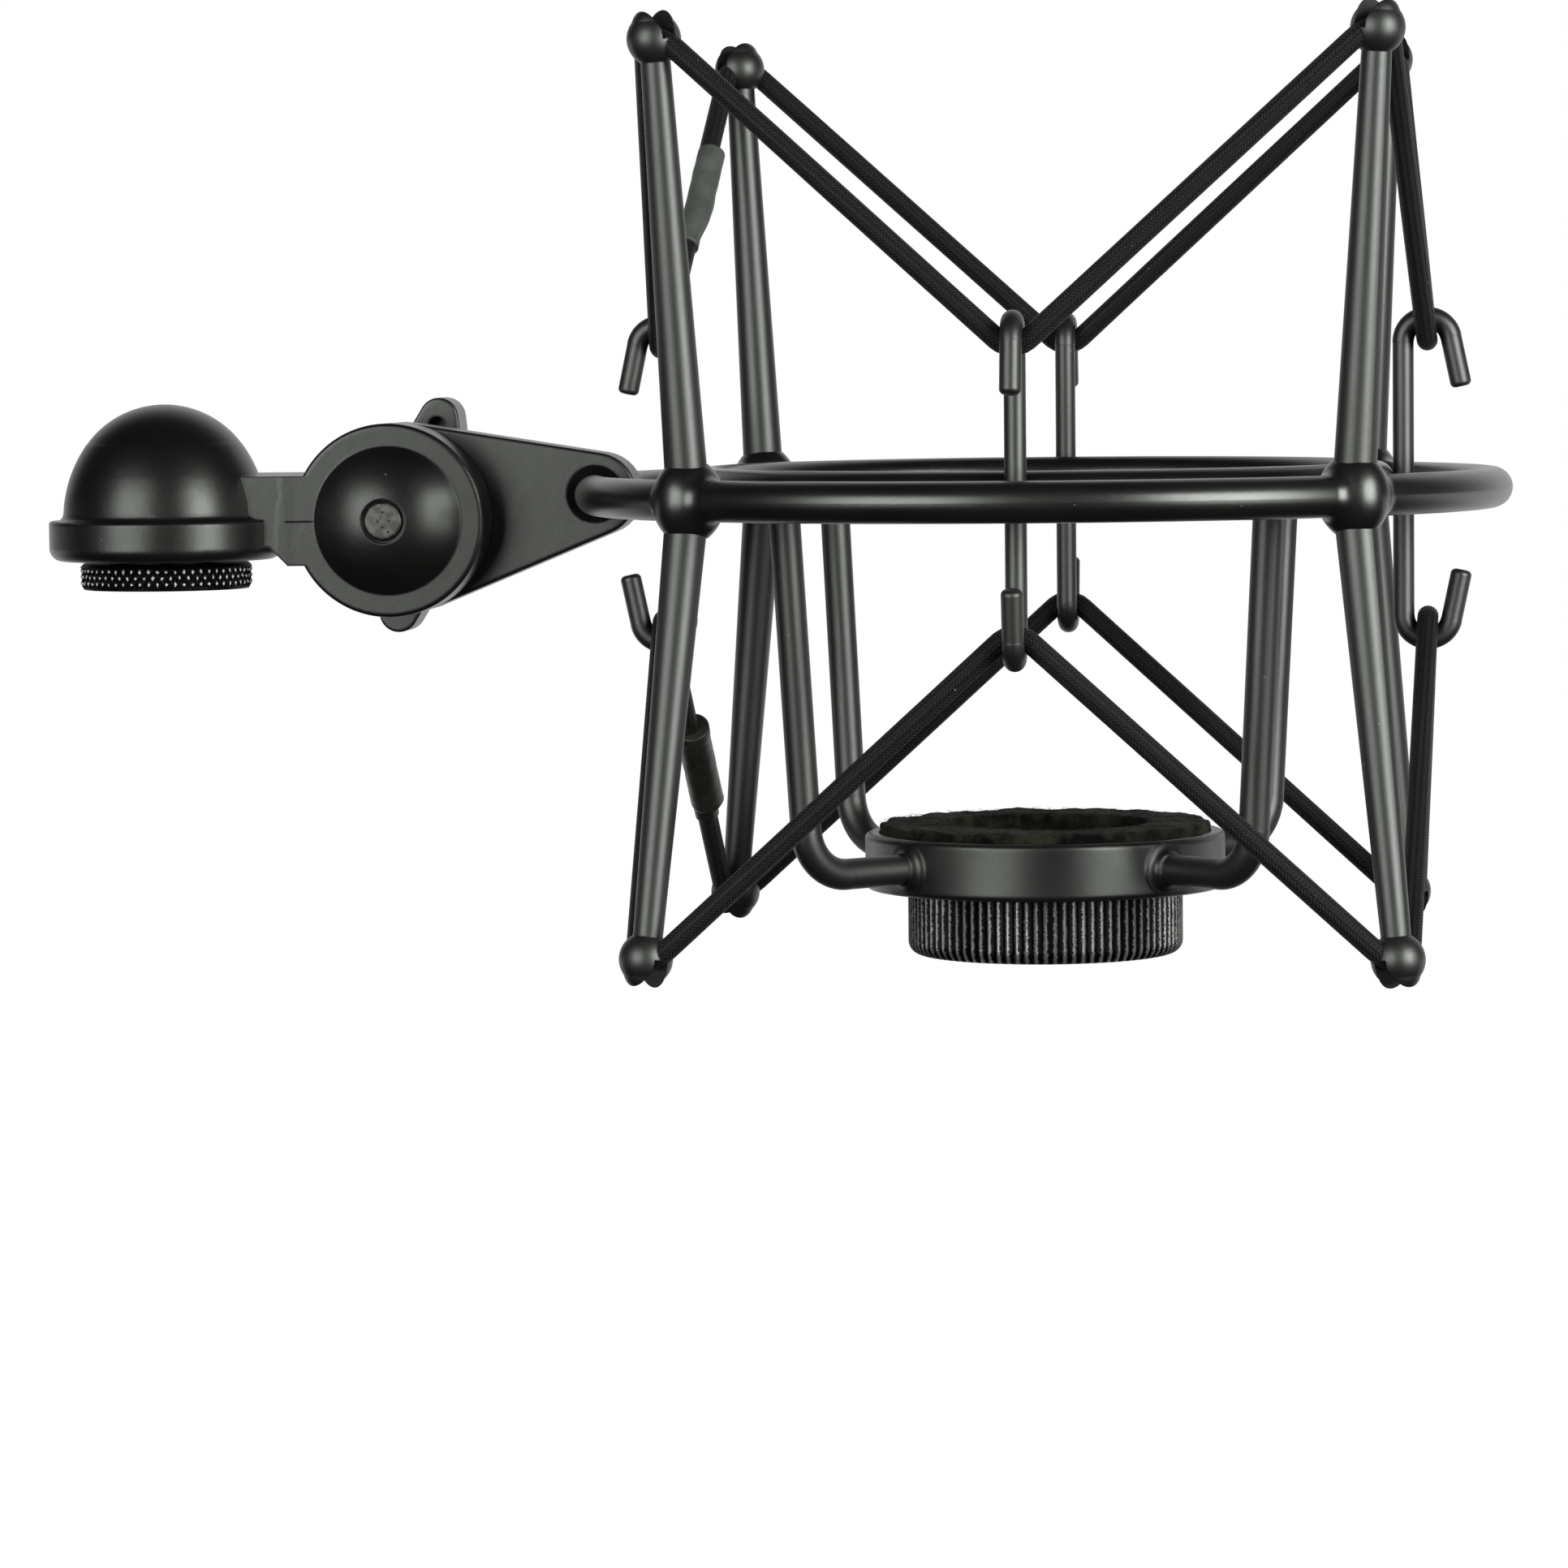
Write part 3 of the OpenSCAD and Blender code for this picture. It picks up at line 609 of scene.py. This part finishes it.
def make_nut(material):
    low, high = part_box("retaining_nut")
    centre = middle("retaining_nut")
    rim = (high.x - low.x) / 2
    bore = mic_thread["dims"]["r_mm"] * MM
    shoulder = low.z + NUT_HEIGHT
    thread_top, thread_foot = high.z - EDGE, low.z + EDGE
    outline = ([(bore + EDGE, low.z)]
               + arc(rim - NUT_EDGE, low.z + NUT_EDGE, NUT_EDGE, -90, 0, steps=8)
               + [(rim, z) for z in span(low.z + NUT_EDGE, shoulder - EDGE, count=6)[1:]]
               + [(rim - EDGE, shoulder), (NUT_NECK, shoulder), (NUT_NECK, high.z - EDGE),
                  (NUT_NECK - EDGE, high.z), (bore + EDGE, high.z)]
               + thread_rows(bore, thread_top, thread_foot, MIC_PITCH))
    shape = turned(outline, NUT_STEPS, upright_at(centre))

    def relief(radius, bearing, z):
        if radius > rim - NUT_EDGE and z < shoulder - EDGE / 2:
            fade = min(1, (radius - rim + NUT_EDGE) / NUT_EDGE * NUT_KNURL_GAIN)
            height = saw(bearing * NUT_RIDGES)
            return KNURL_DEPTH * fade * (height - 1), height
        if radius < bore + WALL_BAND:
            return thread_depth(bearing, z, thread_top, thread_foot, MIC_PITCH), 0
        return 0, 0

    radial_push(shape, centre, relief)
    piece = finished("knurled_nut", shape, material, "nut", smooth=False)
    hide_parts("retaining_nut")


# Felt washer in the cup, with lumps made by fractal noise (its roughness, growth and octaves)
FELT_HOLE = 14.35 * MM
FELT_EDGE = 0.7 * MM
FELT_STEPS = 180
LUMP_HEIGHT = 0.35 * MM
LUMP_LEVEL = 0.6
LUMP_SCALE = 260
LUMP_FRACTAL = (1.0, 2.0, 4)


def make_felt(material):
    low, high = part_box("felt_pad")
    centre = middle("felt_pad")
    rim = (high.x - low.x) / 2
    outline = ([(FELT_HOLE, low.z), (rim, low.z), (rim, low.z + FELT_EDGE)]
               + arc(rim - FELT_EDGE, high.z - FELT_EDGE, FELT_EDGE, 0, 90, steps=4)
               + [(r, high.z) for r in span(rim - FELT_EDGE, FELT_HOLE + FELT_EDGE, count=10)[1:-1]]
               + arc(FELT_HOLE + FELT_EDGE, high.z - FELT_EDGE, FELT_EDGE, 90, 180, steps=4))
    shape = turned(outline, FELT_STEPS, upright_at(centre))
    for vert in shape.verts:
        if vert.co.z > low.z + FELT_EDGE:
            lump = noise.fractal(vert.co * LUMP_SCALE, *LUMP_FRACTAL)
            vert.co += vert.normal * LUMP_HEIGHT * (lump - LUMP_LEVEL)
    add_hairs(shape, centre, rim, high.z)
    piece = finished("felt_washer", shape, material, "cradle")
    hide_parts("felt_pad")


# Loose fibres of the felt: reach and lift of each stretch are ranges in millimetres
HAIR_COUNT = 1400
HAIR_SEED = 7
HAIR_KNOTS = 4
HAIR_RADIUS = 0.022 * MM
HAIR_REACH = (0.15, 0.5)
HAIR_LIFT = (0.02, 0.2)
HAIR_CURL = 0.5
HAIR_DROOP = 1.6
HAIR_ROOT = 0.3 * MM
HOLE_MARGIN = 0.2 * MM
RIM_MARGIN = 0.4 * MM


def add_hairs(shape, centre, rim, top):
    """Adds thin tapering curls that stand a little proud of the felt."""
    curve = bpy.data.curves.new("hairs", "CURVE")
    curve.dimensions = "3D"
    curve.bevel_depth = HAIR_RADIUS
    curve.bevel_resolution = 0
    curve.use_fill_caps = True
    draw = random.Random(HAIR_SEED)
    for _ in range(HAIR_COUNT):
        bearing = draw.uniform(0, FULL_TURN)
        radius = draw.uniform(FELT_HOLE + HOLE_MARGIN, rim - RIM_MARGIN)
        point = centre + Vector((radius * math.cos(bearing), radius * math.sin(bearing), 0))
        point.z = top - HAIR_ROOT
        heading = draw.uniform(0, FULL_TURN)
        reach = draw.uniform(*HAIR_REACH) * MM
        lift = draw.uniform(*HAIR_LIFT) * MM
        spline = curve.splines.new("POLY")
        spline.points.add(HAIR_KNOTS - 1)
        for step, knot in enumerate(spline.points):
            knot.co = (*point, 1)
            knot.radius = 1 - step / HAIR_KNOTS
            heading += HAIR_CURL
            rise = lift * (HAIR_DROOP - step)
            point += Vector((reach * math.cos(heading), reach * math.sin(heading), rise))
    strands = bpy.data.objects.new("hairs", curve)
    mesh = bpy.data.meshes.new_from_object(strands)
    shape.from_mesh(mesh)
    bpy.data.meshes.remove(mesh)
    bpy.data.objects.remove(strands)
    bpy.data.curves.remove(curve)


# Balls on the ring: a collar runs out along the bar on both sides and the posts stand on seats
RING_BALL_RADIUS = 4.9 * MM
RING_BALL_STRETCH = 0.2
RING_BALL_STEPS = 64
COLLAR_BEND = 3 * MM
COLLAR_GAP = 0.03 * MM
SEAT_HEIGHT = 4.62 * MM
SEAT_SINK = 0.12 * MM
SEAT_LEDGE = 0.02 * MM
SEAT_CREASE = math.radians(40)


def collared_ball():
    """A ball along Z with a bore for the bar, taller than wide, that follows the ring's bend."""
    bore = ring_bar + COLLAR_GAP
    bend_place = bore + COLLAR_BEND
    reach = math.sqrt((RING_BALL_RADIUS + COLLAR_BEND) ** 2 - bend_place ** 2)
    lean = math.degrees(math.atan2(reach, bend_place))
    outline = (arc(bend_place, -reach, COLLAR_BEND, 180, 180 - lean, steps=10)
               + arc(0, 0, RING_BALL_RADIUS, -lean, lean, steps=24)[1:-1]
               + arc(bend_place, reach, COLLAR_BEND, 180 + lean, 180, steps=10)
               + [(bore, z) for z in span(reach, -reach, count=8)[1:-1]])
    shape = turned(outline, RING_BALL_STEPS, Matrix())
    for vert in shape.verts:
        height = (vert.co.xy.length - bore) / (RING_BALL_RADIUS - bore)
        vert.co.y *= 1 + RING_BALL_STRETCH * height
        vert.co.x -= ring_radius - math.sqrt(ring_radius ** 2 - vert.co.z ** 2)
    return shape


def cut_seat(shape, place, axis):
    """Cuts the ball flat where a post stands on it and sinks the flat a little."""
    whole = shape.verts[:] + shape.edges[:] + shape.faces[:]
    cut = bmesh.ops.bisect_plane(shape, geom=whole, plane_co=place, plane_no=axis, clear_outer=True)
    rim = [part for part in cut["geom_cut"] if isinstance(part, bmesh.types.BMEdge)]
    seat = bmesh.ops.edgeloop_fill(shape, edges=rim)["faces"]
    bmesh.ops.recalc_face_normals(shape, faces=shape.faces[:])
    bmesh.ops.inset_region(shape, faces=seat, thickness=SEAT_LEDGE, depth=-SEAT_SINK)


def make_ring_balls(material):
    for corner, name in enumerate(CORNERS):
        away = corner_way(corner)
        centre = ring_centre + ring_radius * away
        turn = Matrix((away, -UP, UP.cross(away))).transposed().to_4x4()
        shape = collared_ball()
        bmesh.ops.transform(shape, matrix=Matrix.Translation(centre) @ turn, verts=shape.verts[:])
        for side in (1, -1):
            axis = math.sin(SPLAY[side]) * away + side * math.cos(SPLAY[side]) * UP
            cut_seat(shape, centre + SEAT_HEIGHT * axis, axis)
        piece = finished("joint_ball_" + name, shape, material, "frame")
        piece.data.set_sharp_from_angle(angle=SEAT_CREASE)
        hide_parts("ring_ball_" + name)


# Elastic loops: each goes from post to hook in turn, as the frame has them
LOOP_BENDS = 8
POST_BEND = 4 * MM
HOOK_BEND = 3.1 * MM
HOOK_EYE_RADIUS = 53.1 * MM
HOOK_EYE_HEIGHT = 18.95 * MM
BEND_STEPS = 10
RUN_STEPS = 14
CORD_RADIUS = 1.45 * MM
CORD_SIDES = 20
CORD_STEP = 0.75 * MM


def post_eye(corner, side):
    reach = ring_radius + POST_LENGTH * math.sin(SPLAY[side])
    return (ring_centre + reach * corner_way(corner)
            + side * POST_LENGTH * math.cos(SPLAY[side]) * UP)


def hook_eye(quarter, side):
    return (cradle_centre + HOOK_EYE_RADIUS * outward(QUARTER + QUARTER * quarter)
            + side * HOOK_EYE_HEIGHT * UP)


def loop_eye(k, side):
    return post_eye(k // 2, side) if k % 2 == 0 else hook_eye(k // 2, side)


def bend_points(k, side):
    """Arc of the cord round one post or hook, as points in order."""
    eye = loop_eye(k, side)
    bend = POST_BEND if k % 2 == 0 else HOOK_BEND
    to_before = (loop_eye((k - 1) % LOOP_BENDS, side) - eye).normalized()
    to_after = (loop_eye((k + 1) % LOOP_BENDS, side) - eye).normalized()
    along = (to_after - to_before).normalized()
    pull = (to_after + to_before).normalized()
    half = math.acos(to_after.dot(along))
    angles = span(-half, half, BEND_STEPS)
    return [eye + bend * (math.sin(a) * along + (1 - math.cos(a)) * pull) for a in angles]


def loop_points(side):
    """The whole closed loop: arcs joined by straight runs."""
    bends = [bend_points(k, side) for k in range(LOOP_BENDS)]
    points = []
    for bend, after in zip(bends, bends[1:] + bends[:1]):
        points += bend
        points += [bend[-1].lerp(after[0], k / RUN_STEPS) for k in range(1, RUN_STEPS)]
    return points


def evenly(points, step):
    """The same closed line with points at equal distances, so that the braid keeps its pitch."""
    ends = points[1:] + points[:1]
    whole = sum((end - start).length for start, end in zip(points, ends))
    count = round(whole / step)
    even = []
    passed = 0
    for start, end in zip(points, ends):
        length = (end - start).length
        while len(even) < count and len(even) * whole / count < passed + length:
            even.append(start.lerp(end, (len(even) * whole / count - passed) / length))
        passed += length
    return even


def hang(piece):
    """Bakes the piece's place into its mesh."""
    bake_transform(piece)


def make_elastic(name, side, material):
    points = evenly(loop_points(side), CORD_STEP)
    count = len(points)

    def place(row, turn):
        here = points[row % count]
        ahead = (points[(row + 1) % count] - points[(row - 1) % count]).normalized()
        away = here - ring_centre
        away.z = 0
        across = (away - away.dot(ahead) * ahead).normalized()
        return here + CORD_RADIUS * round_about(turn, across, ahead.cross(across))

    shape = tube(count, CORD_SIDES, place)
    piece = finished(name, shape, material)
    hang(piece)
    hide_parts(name.replace("_cord", ""))


# Shrink sleeves on the run after the back left post, over the lapped ends of the cord
SLEEVE_BEND = 2
SLEEVE_START = 17 * MM
SLEEVE_LENGTH = 20 * MM
SLEEVE_COLLAR = 2.6 * MM
SLEEVE_SLOPE = {1: 9 * MM, -1: 0.8 * MM}
SLEEVE_WIDE = {1: 2.0 * MM, -1: 2.4 * MM}
SLEEVE_NARROW = 1.75 * MM
SLEEVE_SHIFT = 0.45 * MM
SLEEVE_LIP = {1: 0, -1: 0.12 * MM}
SLEEVE_LIP_LENGTH = 2 * MM
SLEEVE_WALL = 0.3 * MM
SLEEVE_SIDES = 24
SLEEVE_ROWS = 48
WRINKLE_DEPTH = 0.03
WRINKLES_ROUND = 2
WRINKLES_PER_ROW = 0.2


def make_sleeve(name, side, material):
    start = bend_points(SLEEVE_BEND, side)[-1]
    end = bend_points(SLEEVE_BEND + 1, side)[0]
    run = (end - start).normalized()
    across = run.orthogonal().normalized()
    over = run.cross(across)
    aside = run.cross(Vector((0, side, 0))).normalized()
    low, high = SLEEVE_START, SLEEVE_START + SLEEVE_LENGTH

    def outline(distance):
        """Radius and sideways shift: narrow on the single cord at one end and wide over the lap,
        with a slight swell where the slope ends.
        """
        from_collar = (high - distance) if side > 0 else (distance - low)
        share = min(1, max(0, (from_collar - SLEEVE_COLLAR) / SLEEVE_SLOPE[side]))
        full = share * (3 - 2 * share)
        lip = SLEEVE_LIP[side] if SLEEVE_LENGTH - from_collar < SLEEVE_LIP_LENGTH else 0
        radius = SLEEVE_NARROW + full * (SLEEVE_WIDE[side] - SLEEVE_NARROW) + lip
        return radius, full * SLEEVE_SHIFT

    distances = span(low, high, SLEEVE_ROWS)
    outer, shift = zip(*[outline(distance) for distance in distances])
    stations = [low, low, *distances, high, high]
    radii = [CORD_RADIUS, outer[0] - SLEEVE_WALL, *outer, outer[-1] - SLEEVE_WALL, CORD_RADIUS]
    shifts = [0, shift[0], *shift, shift[-1], 0]
    points = [start + run * d + aside * s for d, s in zip(stations, shifts)]

    def place(row, turn):
        ripple = WRINKLES_ROUND * round_about(turn % 1, Vector((0, 1, 0)), UP)
        ripple.x = row * WRINKLES_PER_ROW
        radius = radii[row] * (1 + WRINKLE_DEPTH * noise.noise(ripple))
        return points[row] + radius * round_about(turn, across, over)

    shape = tube(len(points) - 1, SLEEVE_SIDES, place)
    piece = finished(name, shape, material)
    hang(piece)
    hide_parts(name.replace("shrink_", ""))


# Studio: white to the camera; in reflections white behind the object and dark behind the camera
BLACK = (0, 0, 0, 1)
WHITE = (1, 1, 1, 1)
FLOOR_GREY = (0.07, 0.07, 0.07, 1)
FLOOR_DROP = 1.2
FLOOR_REACH = 20
FLOOR_WHITE_START = 0.6
FLOOR_WHITE_END = 3
ROOM_WHITE_START = 0.45
ROOM_WHITE_END = 0.95
ROOM_DARK = 0.02


def make_floor():
    shape = bmesh.new()
    bmesh.ops.create_grid(shape, x_segments=1, y_segments=1, size=FLOOR_REACH)
    bmesh.ops.translate(shape, verts=shape.verts[:], vec=(0, 0, cad_box[0].z - FLOOR_DROP))
    mesh = bpy.data.meshes.new("floor")
    shape.to_mesh(mesh)
    shape.free()
    floor = bpy.data.objects.new("floor", mesh)
    bpy.context.scene.collection.objects.link(floor)
    finish = Finish("floor", Base_Color=FLOOR_GREY, Roughness=0.9, Specular_IOR_Level=0.0,
                    Emission_Strength=1.0)
    behind = finish.axis("Y").rise(FLOOR_WHITE_START, FLOOR_WHITE_END)
    glossy = finish.add("LightPath", output="Is Glossy Ray")
    through = finish.add("LightPath", output="Is Transmission Ray")
    seen = finish.add("LightPath", output="Is Camera Ray") + (glossy + through) * behind
    finish.shade("Emission Color", finish.blend(seen, BLACK, WHITE))
    mesh.materials.append(finish.material)


def make_room():
    world = bpy.data.worlds.new("studio")
    bpy.context.scene.world = world
    world.use_nodes = True
    room = Nodes(world.node_tree)
    walls = room.tree.nodes["Background"]
    way = room.add("TexCoord", output="Generated")
    behind = room.add("SeparateXYZ", inputs={0: way}, output="Y")
    glow = behind.rise(ROOM_WHITE_START, ROOM_WHITE_END, low=ROOM_DARK)
    seen = room.add("LightPath", output="Is Camera Ray")
    room.feed(walls.inputs["Strength"], glow.larger(seen))
    room.feed(walls.inputs["Color"], WHITE)


def soft_box(name, aim, bearing, height, distance, width, tall, watts):
    """A soft box that stands at a bearing from the camera's axis and faces what it is aimed at."""
    data = bpy.data.lights.new(name, "AREA")
    data.shape = "RECTANGLE"
    data.size = width
    data.size_y = tall
    data.energy = watts
    lamp = bpy.data.objects.new(name, data)
    bpy.context.scene.collection.objects.link(lamp)
    turn = math.radians(bearing) + VIEW_YAW
    place = aim + Vector((math.sin(turn) * distance, -math.cos(turn) * distance, height))
    facing = (aim - place).to_track_quat("-Z", "Y").to_matrix().to_4x4()
    lamp.matrix_world = Matrix.Translation(place) @ facing


def make_lamps():
    """Two soft boxes in front, a wide one on the left and a closer one on the right."""
    object_centre = (cad_box[0] + cad_box[1]) / 2
    soft_box("soft_box_left", object_centre, bearing=-37, height=0.2, distance=1.15,
             width=0.75, tall=0.8, watts=8)
    soft_box("soft_box_right", ring_centre, bearing=43, height=0.13, distance=0.7,
             width=0.4, tall=0.5, watts=5.4)


def dress_nodes():
    """Gives painted, plated and fibre nodes of the frame their own finish, or that of their slot."""
    rods = paint("rod_paint", roughness=0.45, ior=1.95, edge=0.25 * MM)
    rings = paint("ring_paint", roughness=0.33, ior=1.9, edge=0.25 * MM)
    castings = paint("cast_paint", roughness=0.38, ior=1.8, edge=0.45 * MM, skin=0.22)
    head = paint("head_paint", roughness=0.36, ior=1.68, edge=0.45 * MM, skin=0.22, cast_lines=True)
    slot_finishes = {"bare_steel": bare_steel(), "fibre": fibre(), "satin_black_paint": rods}
    node_finishes = {"stand_head": head, "tilt_arm": castings, "wing_handle": castings,
                     "cradle_cup": castings, "outer_ring": rings, "inner_ring": rings}
    for row in frame["record"]["subparts"]:
        finish = node_finishes.get(row["node"]) or slot_finishes.get(row["material_slot"])
        if finish:
            materials = frame["nodes"][row["node"]].data.materials
            materials.clear()
            materials.append(finish)


make_camera()
dress_nodes()
make_ring_balls(paint("ball_paint", roughness=0.33, ior=1.9, edge=0))
# The adapter's tip colour is partly wear and partly painted highlight
make_adapter(black_steel("adapter_steel", shine=0.2, wear_and_glint=ADAPTER_WEAR_AND_GLINT, metal=0.2,
                         rub_and_glint_start=0.62, rub_and_glint_end=0.76))
make_nut(black_steel("nut_steel", shine=0.12, wear_and_glint=NUT_WORN, metal=0.7,
                     rub_and_glint_start=0.5, rub_and_glint_end=0.9))
make_felt(felt())
cord_finish = braid()
make_elastic("upper_elastic_cord", 1, cord_finish)
make_elastic("lower_elastic_cord", -1, cord_finish)
grey_tube = shrink_tube("grey_shrink_tube", GREY_TUBE_DARK, GREY_TUBE_PALE, roughness=0.5)
# The lower sleeve's darker copy of the tube is painted shade
shaded_tube = shrink_tube("shaded_shrink_tube", SHADED_TUBE_DARK, SHADED_TUBE_PALE, roughness=0.32)
make_sleeve("upper_shrink_sleeve", 1, grey_tube)
make_sleeve("lower_shrink_sleeve", -1, shaded_tube)
make_floor()
make_room()
make_lamps()
bpy.context.scene.view_settings.view_transform = "Standard"
